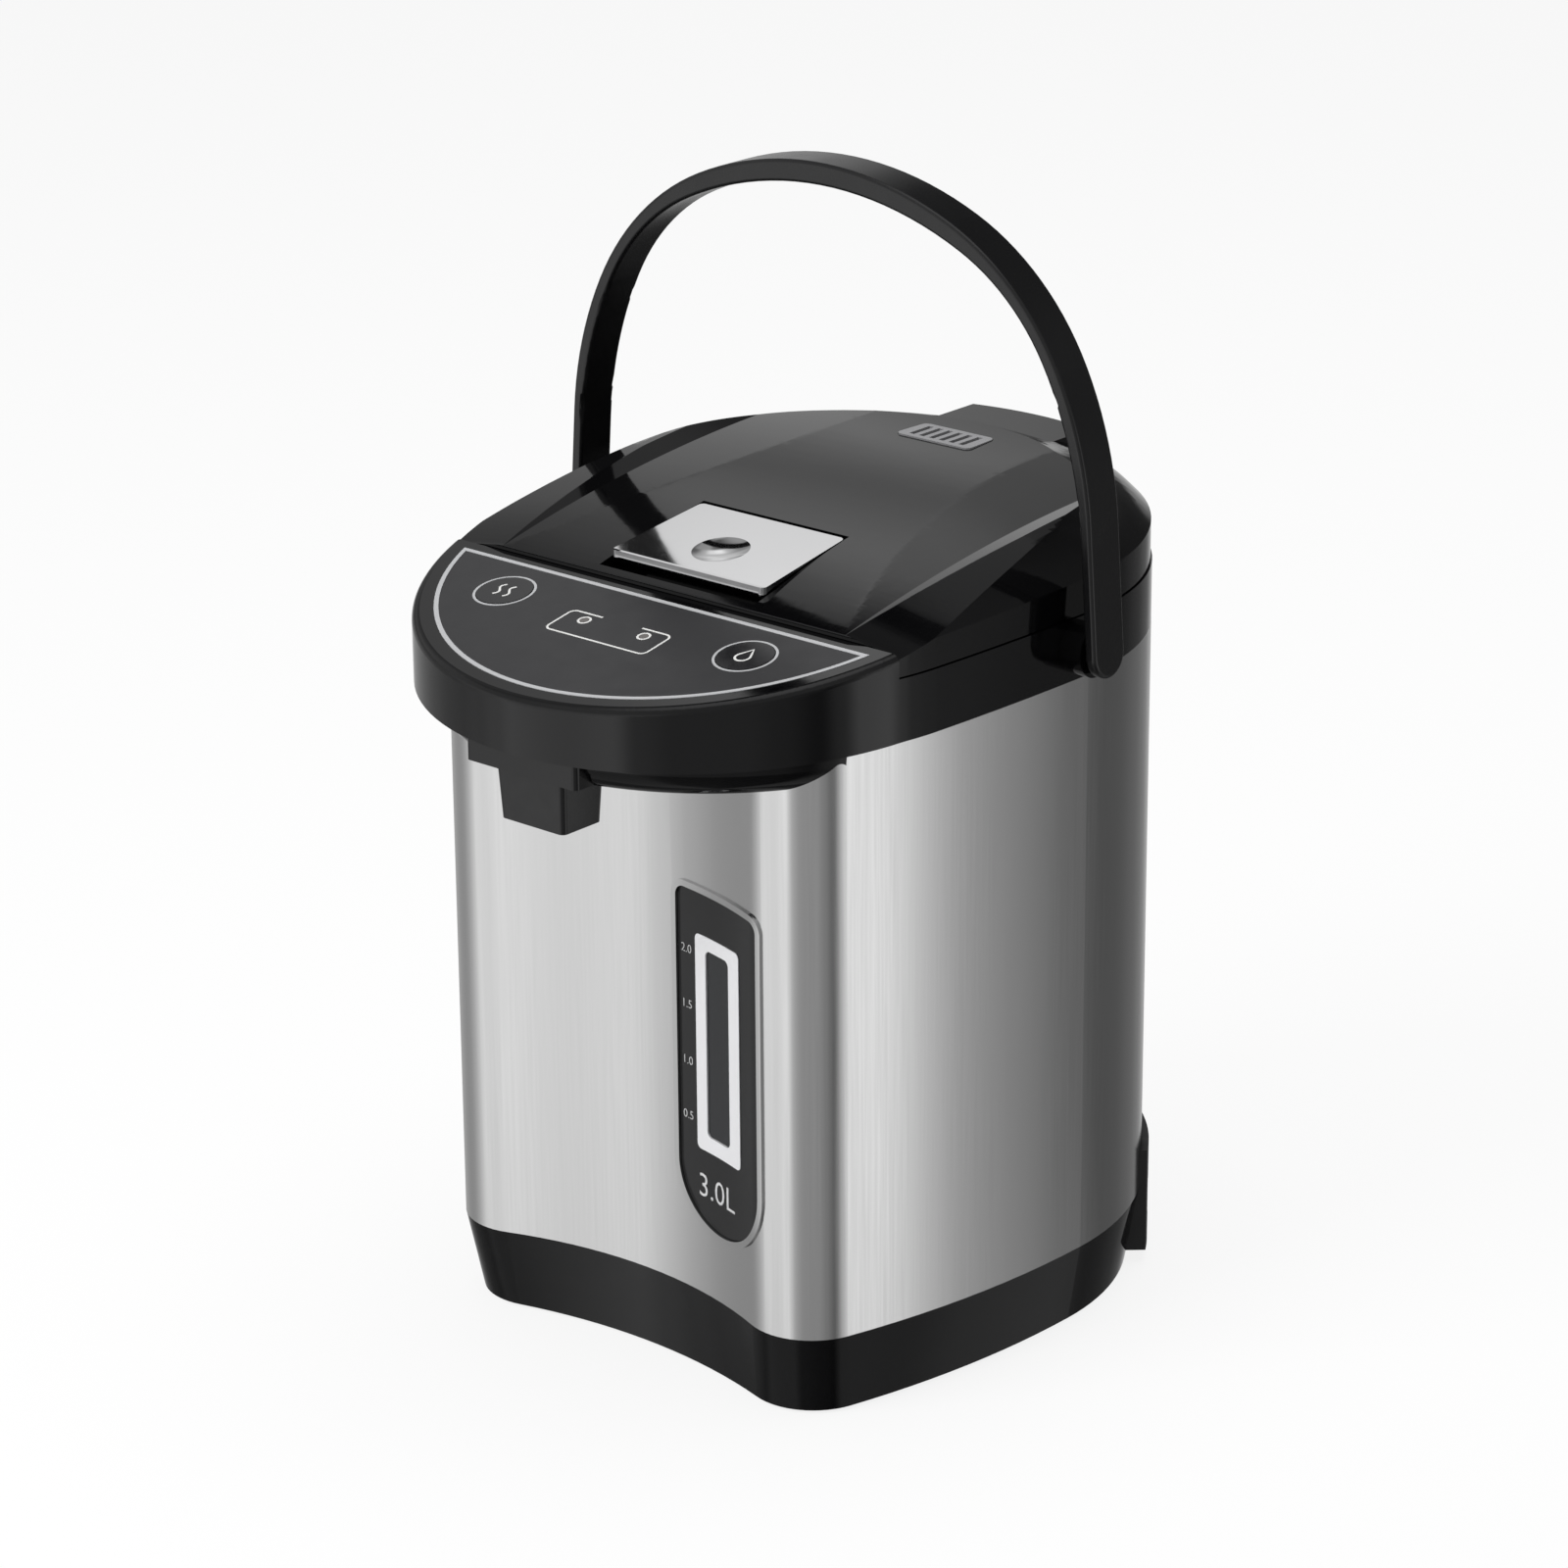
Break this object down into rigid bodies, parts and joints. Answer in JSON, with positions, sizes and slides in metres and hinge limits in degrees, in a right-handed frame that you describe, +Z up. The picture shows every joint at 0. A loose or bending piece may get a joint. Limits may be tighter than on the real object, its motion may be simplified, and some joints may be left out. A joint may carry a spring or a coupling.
{
  "type": "electric thermo pot",
  "caption": "Free-standing electric thermo pot with a hinged lid, carrying bail, push-button control panel, level gauge, pump and front spout over a hollow body face.",
  "frame": {"origin": "floor point under the middle of the overall box: X = 0 is the plane of symmetry, Y = 0 lies midway between nose front and body rear, Z = 0 is the floor", "axes": "+X to the pot's left-hand side as it faces the user (right in a front view), +Y towards the rear hinge, +Z up; the spout faces -Y"},
  "size_m": [0.2374, 0.275, 0.4011],
  "materials": {
    "satin_steel": "satin stainless sheet, drawn vertically",
    "tank_steel": "plain stainless sheet",
    "gloss_black": "polished black ABS",
    "satin_black": "fine satin black plastic",
    "panel_grey": "semi-matt dark grey film",
    "silver_trim": "satin silver",
    "chrome_plate": "mirror chrome on plastic",
    "button_cap": "semi-gloss grey",
    "lens_clear": "clear lens",
    "grille_grey": "light grey plastic",
    "label_black": "gloss black label plate",
    "frame_white": "printed white frame",
    "window_clear": "smoked clear window",
    "tube_clear": "clear sight tube",
    "inner_plastic": "natural grey heat-resistant plastic",
    "silicone": "translucent silicone",
    "rubber_black": "black rubber",
    "board_green": "green circuit board",
    "screw_steel": "zinc-plated steel",
    "motor_steel": "plated can",
    "pin_metal": "bare brass"
  },
  "bodies": {
    "pot": {"base_skirt": "gloss_black", "base_plate": "satin_black", "rubber_feet": "rubber_black", "base_screws": "screw_steel", "steel_body": "satin_steel", "gauge_label": "label_black", "gauge_frame": "frame_white", "gauge_window": "window_clear", "collar": "gloss_black", "control_panel": "panel_grey", "panel_trim": "silver_trim", "button_rings": "silver_trim", "indicator_lenses": "lens_clear", "control_board": "board_green", "board_screws": "screw_steel", "nose_cover": "gloss_black", "spout": "gloss_black", "outlet_pipe": "silicone", "power_inlet": "satin_black", "inlet_pins": "pin_metal", "hinge_block": "gloss_black", "handle_bosses": "gloss_black", "inner_tank": "tank_steel", "heater": "motor_steel", "thermostat": "inner_plastic", "pump_housing": "inner_plastic", "pump_motor": "motor_steel", "motor_seat": "rubber_black", "tank_hose": "silicone", "riser_hose": "silicone", "sight_tube": "tube_clear", "tube_coupling": "silicone"},
    "lid": {"lid_shell": "gloss_black", "lid_tray": "inner_plastic", "lid_plate": "tank_steel", "lid_gasket": "silicone", "steam_duct": "inner_plastic", "steam_grille": "grille_grey", "hinge_pin": "screw_steel", "release_pin": "screw_steel"},
    "lid_release": {"release_plate": "chrome_plate"},
    "latch_bolt": {"latch_slider": "inner_plastic"},
    "handle": {"handle_bail": "satin_black"},
    "reboil": {"reboil_button": "button_cap"},
    "dispense": {"dispense_button": "button_cap"},
    "impeller": {"pump_impeller": "inner_plastic"}
  },
  "joints": [
    {"name": "lid_hinge", "type": "hinge", "parent": "pot", "child": "lid", "pos_m": [0, 0.126, 0.268], "axis": [-1, 0, 0], "range_deg": [0, 25]},
    {"name": "release_hinge", "type": "hinge", "parent": "lid", "child": "lid_release", "pos_m": [0, -0.009, 0.27805], "axis": [-1, 0, 0], "range_deg": [0, 12], "stiffness_Nm_per_rad": 0.05, "springref_deg": -11.46},
    {"name": "bolt_slide", "type": "slide", "parent": "lid", "child": "latch_bolt", "axis": [0, -1, 0], "range_m": [0, 0.00344]},
    {"name": "handle_swing", "type": "hinge", "parent": "pot", "child": "handle", "pos_m": [0, 0.0265, 0.2518], "axis": [-1, 0, 0], "range_deg": [-75, 90]},
    {"name": "reboil_press", "type": "slide", "parent": "pot", "child": "reboil", "axis": [0, 0.1788, -0.9839], "range_m": [0, 0.0008], "stiffness_N_per_m": 400, "springref_m": -0.0008},
    {"name": "dispense_press", "type": "slide", "parent": "pot", "child": "dispense", "axis": [0, 0.1788, -0.9839], "range_m": [0, 0.0008], "stiffness_N_per_m": 400, "springref_m": -0.0008},
    {"name": "impeller_spin", "type": "hinge", "parent": "pot", "child": "impeller", "pos_m": [0.0236, 0, 0.04], "axis": [0, 0, 1], "continuous": true}
  ],
  "couplings": [
    {"joint": "bolt_slide", "follows": "release_hinge", "m_per_rad": 0.016429}
  ]
}
